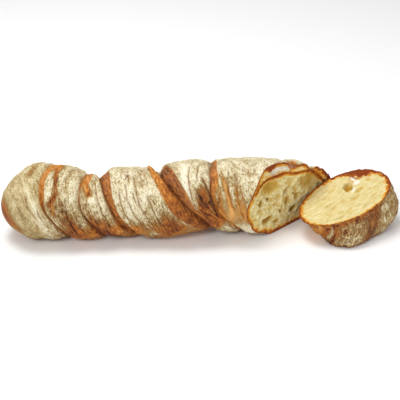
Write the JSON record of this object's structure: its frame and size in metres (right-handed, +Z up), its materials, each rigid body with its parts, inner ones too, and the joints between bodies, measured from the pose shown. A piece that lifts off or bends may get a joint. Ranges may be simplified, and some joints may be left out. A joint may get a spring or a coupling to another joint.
{
  "type": "baguette",
  "caption": "Twisted rustic baguette lying down, cut through on a slant, with its cut-off end tipped over beside the cut so that both crumb faces show.",
  "frame": {"origin": "middle of the box round the loaf and its cut-off end, at the height of the surface that they lie on", "axes": "+X along the loaf towards its cut-off end, -Y towards the front, where the cut face looks, +Z up"},
  "size_m": [0.3982, 0.0952, 0.0746],
  "materials": {
    "crust": null,
    "crumb": null
  },
  "bodies": {
    "root": {"loaf": "crust", "cut_off_end": "crust"}
  },
  "joints": []
}
